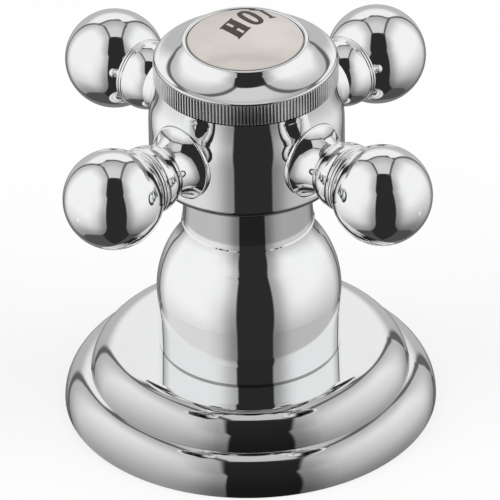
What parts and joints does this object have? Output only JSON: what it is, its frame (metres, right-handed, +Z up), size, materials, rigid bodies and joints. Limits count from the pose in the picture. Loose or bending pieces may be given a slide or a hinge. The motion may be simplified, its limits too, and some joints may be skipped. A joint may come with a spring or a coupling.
{
  "type": "cross handle tap",
  "caption": "Chrome cross handle tap top with ball-ended arms, knurled cap, lettered porcelain button, bell cover and stepped deck flange over a quarter-turn ceramic headwork.",
  "frame": {"origin": "centre of the flange's underside, where the tap rests on the deck", "axes": "+Z up along the spindle; +Y away from the picture's camera; the four arms lie halfway between the X and Y axes"},
  "size_m": [0.058, 0.058, 0.0659],
  "materials": {
    "chrome_plate": "polished chrome plate on brass",
    "porcelain": "glazed, warm off-white",
    "raw_brass": "machined brass",
    "alumina": "lapped white alumina",
    "black_rubber": "black nitrile",
    "grey_foam_rubber": "dark grey sponge rubber",
    "fibre": "red fibre",
    "white_nylon": "white nylon",
    "spring_steel": "spring steel",
    "stainless": "stainless steel"
  },
  "bodies": {
    "fixed": {"flange": "chrome_plate", "flange_gasket": "grey_foam_rubber", "bell_sleeve": "chrome_plate", "bell_washer": "fibre", "bell_nut": "raw_brass", "bonnet": "raw_brass", "valve_washer": "fibre", "seat_seal": "black_rubber", "fixed_disc": "alumina", "friction_washer": "white_nylon"},
    "handle": {"spindle": "raw_brass", "spindle_ring_lower": "black_rubber", "spindle_ring_upper": "black_rubber", "spindle_clip": "spring_steel", "moving_disc": "alumina", "spline_bush": "white_nylon", "handle_hub": "chrome_plate", "guide_bush": "white_nylon", "hub_washer": "stainless", "handle_screw": "stainless", "arm_front_left": "chrome_plate", "arm_front_right": "chrome_plate", "arm_rear_left": "chrome_plate", "arm_rear_right": "chrome_plate"},
    "cap_carrier": {"cap_ring": "black_rubber"},
    "cap": {"index_cap": "chrome_plate", "index_button": "porcelain"}
  },
  "joints": [
    {"name": "handle_turn", "type": "hinge", "parent": "fixed", "child": "handle", "pos_m": [0, 0, 0.0494], "axis": [0, 0, 1], "range_deg": [0, 90]},
    {"name": "cap_lift", "type": "slide", "parent": "handle", "child": "cap_carrier", "axis": [0, 0, 1], "range_m": [0, 0.00325]},
    {"name": "cap_turn", "type": "hinge", "parent": "cap_carrier", "child": "cap", "pos_m": [0, 0, 0.06], "axis": [0, 0, 1], "range_deg": [0, 1170]}
  ],
  "couplings": [
    {"joint": "cap_turn", "follows": "cap_lift", "rad_per_m": 6283.2}
  ]
}
